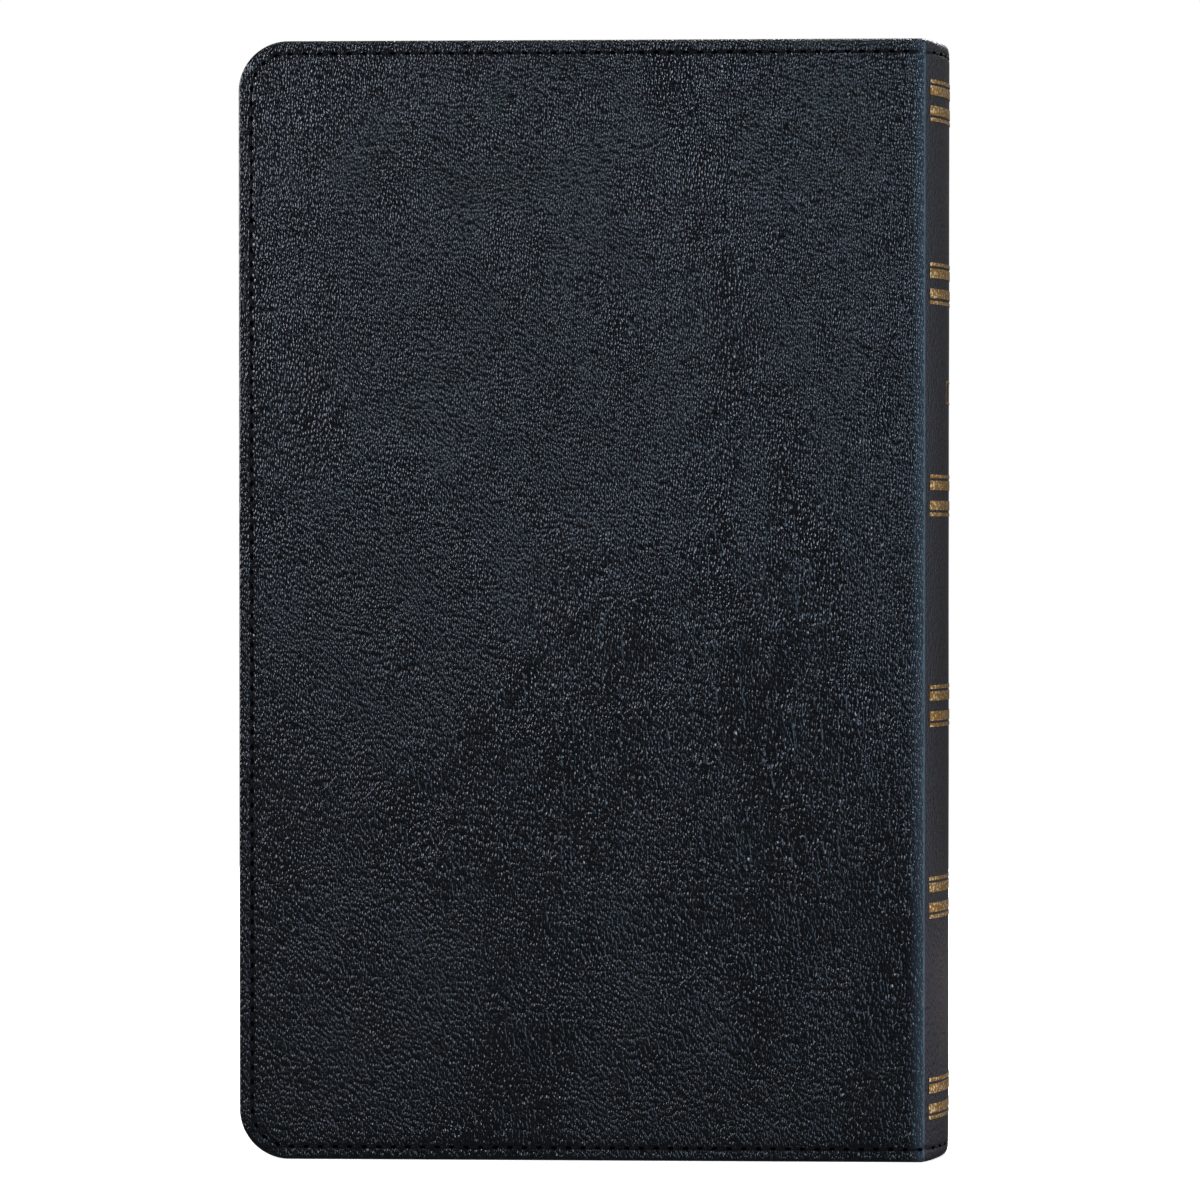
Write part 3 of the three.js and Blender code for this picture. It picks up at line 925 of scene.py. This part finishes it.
def headband(name, end):
    """A roll of wound thread in two colours, capping the sewn back of the pages."""
    node = f"{name}_{end}_headband"
    side = SIDES[name]
    middle_z = sum(span(node, "z")) / 2
    y_low, y_high = sorted(abs(y) for y in span(node, "y"))
    radius = BACK_R - HEADBAND_INSET
    start, stop = math.asin(y_low / radius), math.asin(y_high / BACK_R)
    winds = round(radius * (stop - start) / HEADBAND_WIND)

    def winds_to(place):
        return (math.atan2(place.y, place.x - SPINE_CX) - start) / (stop - start) * winds

    bm = bmesh.new()
    circle = bmesh.ops.create_circle(bm, segments=10, radius=HEADBAND_R)["verts"]
    bmesh.ops.rotate(bm, cent=(0, 0, 0), matrix=Matrix.Rotation(math.pi / 2, 3, "X"), verts=circle)
    bmesh.ops.translate(bm, vec=(SPINE_CX + radius, 0, middle_z), verts=circle)
    centre = (SPINE_CX, 0, 0)
    bmesh.ops.rotate(bm, cent=centre, matrix=Matrix.Rotation(start, 3, "Z"), verts=circle)
    sweep = {"axis": (0, 0, 1), "dvec": (0, 0, 0), "angle": stop - start, "steps": winds}
    bmesh.ops.spin(bm, geom=bm.edges[:], cent=centre, use_merge=False, **sweep)
    for vert in bm.verts:
        if round(winds_to(vert.co)) % 2:
            place = Vector((vert.co.x - SPINE_CX, vert.co.y))
            reach = radius / place.length
            core = Vector((SPINE_CX + reach * place.x, reach * place.y, middle_z))
            vert.co = core + (vert.co - core) * WIND_VALLEY
    for face in bm.faces:
        face.material_index = int(winds_to(face.calc_center_median()) / 2) % 2
    bmesh.ops.holes_fill(bm, edges=[e for e in bm.edges if e.is_boundary], sides=0)
    if side < 0:
        bmesh.ops.scale(bm, vec=(1, -1, 1), verts=bm.verts)
    piece = make_piece(f"{node}_roll", bm, headband_dark, headband_gold)
    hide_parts(node)
    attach(piece, f"{name}_half")


def ribbon():
    """The satin marker: a flat woven strip with a swallow-tail end, lying between the pages."""
    low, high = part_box("ribbon_marker")
    low, high = low / MM, high / MM
    bm = bmesh.new()
    columns, rows = 4, 70
    grid = grid_of(bm, columns + 1, rows + 1)
    middle_y = (low.y + high.y) / 2
    for (i, j), vert in grid.items():
        across, up = i / columns, j / rows
        notch = 3 * (1 - abs(2 * across - 1)) * (1 - smooth(0, 0.12, up))
        wave = 0.03 * math.sin(up * 31) * math.sin(across * math.pi)
        x = low.x + (high.x - low.x) * across
        z = low.z + (high.z - low.z) * up + notch
        vert.co = Vector((x, middle_y + wave, z))
    bmesh.ops.recalc_face_normals(bm, faces=bm.faces)
    bmesh.ops.solidify(bm, geom=bm.faces[:], thickness=0.09)
    piece = make_piece("satin_ribbon", bm, satin)
    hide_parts("ribbon_marker")
    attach(piece, "spine_middle")


# ---------------------------------------------------------------- the object

for side_name in SIDES:
    cover_skin(side_name)
    spine_skin(side_name)
    cover_stitching(side_name)
    spine_stitching(side_name)
    spine_foil(side_name)
    for end_name in ("head", "tail"):
        headband(side_name, end_name)
    dress(f"{side_name}_cover_board", pulp_board)
    dress(f"{side_name}_pastedown", endpaper)
    dress(f"{side_name}_flyleaf", endpaper)
    dress(f"{side_name}_spine_liner", kraft)
    dress(f"{side_name}_mull", gauze)
pages()
ribbon()

# ---------------------------------------------------------------- camera, light and floor


def look_from(target, azimuth, elevation, distance):
    """Place and turn of something that looks at a target from an angle; azimuth 0 looks along +Y."""
    a, e = math.radians(azimuth), math.radians(elevation)
    back = Vector((math.sin(a) * math.cos(e), -math.cos(a) * math.cos(e), math.sin(e)))
    return target + back * distance, (-back).to_track_quat("-Z", "Y").to_euler()


def camera():
    """A long lens square to the back cover, a little above its middle and a little towards the spine."""
    data = bpy.data.cameras.new("studio_camera")
    data.lens = 122.2
    data.sensor_width = 36
    data.clip_start = 0.01
    target = Vector((1.15, -FACE_Y, HEIGHT / 2 + 0.25)) * MM
    thing = bpy.data.objects.new("studio_camera", data)
    thing.location, thing.rotation_euler = look_from(target, 2.1, 0.75, 0.835)
    bpy.context.scene.collection.objects.link(thing)
    bpy.context.scene.camera = thing


def softbox(name, azimuth, elevation, distance, size, power, colour="#ffffff"):
    """A rectangular area light that faces the book's middle."""
    data = bpy.data.lights.new(name, "AREA")
    data.shape = "RECTANGLE"
    data.size, data.size_y = size
    data.energy = power
    data.color = linear(colour)[:3]
    thing = bpy.data.objects.new(name, data)
    thing.visible_camera = False
    middle = Vector((0, 0, HEIGHT / 2 * MM))
    thing.location, thing.rotation_euler = look_from(middle, azimuth, elevation, distance)
    bpy.context.scene.collection.objects.link(thing)


def lights():
    """Soft boxes all round the book, most of them on its spine side."""
    softbox("key_left", -46, 20, 0.7, (0.18, 0.22), 2.65, "#e2ecff")
    softbox("strip_right", 64, 5, 1.0, (0.5, 0.8), 5.0, "#acd0ee")
    softbox("spine_soft", 99, 4, 1.0, (0.55, 0.9), 0.95, "#fff2f8")
    softbox("spine_low", 99, -27, 0.22, (0.3, 0.03), 0.013, "#fff2f8")
    softbox("key_back", 145, 42, 1.0, (0.4, 0.4), 8)
    softbox("fore_edge_soft", -120, 12, 1.0, (0.4, 0.6), 3)
    softbox("top_soft", 0, 88, 1.0, (0.5, 0.5), 3)


def surround():
    """A white world. It is bright to the eye and to matt surfaces, and dim in reflections."""
    world = bpy.data.worlds.new("white_surround")
    world.use_nodes = True
    tree = world.node_tree
    tree.nodes.clear()
    ray = add(tree, "LightPath").outputs
    glossy = add(tree, "Background", {"Color": (0.93, 0.96, 1, 1), "Strength": 0.1}).outputs[0]
    matt = add(tree, "Background", {"Color": (1, 1, 1, 1), "Strength": 0.35}).outputs[0]
    seen = add(tree, "Background", {"Color": (1, 1, 1, 1), "Strength": 1.0}).outputs[0]
    lit = add(tree, "MixShader", {0: ray["Is Diffuse Ray"], 1: glossy, 2: matt}).outputs[0]
    mix = add(tree, "MixShader", {0: ray["Is Camera Ray"], 1: lit, 2: seen}).outputs[0]
    add(tree, "OutputWorld", {"Surface": mix})
    bpy.context.scene.world = world


def pale_floor():
    """A plain pale floor that glows a little, so that it meets the surround without a line."""
    bm = bmesh.new()
    bmesh.ops.create_grid(bm, x_segments=1, y_segments=1, size=0.75)
    mesh = bpy.data.meshes.new("pale_floor")
    bm.to_mesh(mesh)
    bm.free()
    floor = bpy.data.objects.new("pale_floor", mesh)
    floor.visible_glossy = False
    bpy.context.scene.collection.objects.link(floor)
    material, tree = new_material("pale_floor_paint")
    glow = {"Emission Color": (1, 1, 1, 1), "Emission Strength": 0.7}
    finish_material(tree, {"Base Color": linear("#f7f7f6"), "Roughness": 0.9, **glow})
    material.cycles.emission_sampling = "NONE"
    mesh.materials.append(material)


camera()
lights()
surround()
pale_floor()
bpy.context.scene.view_settings.view_transform = "Standard"
bpy.context.scene.view_settings.look = "None"
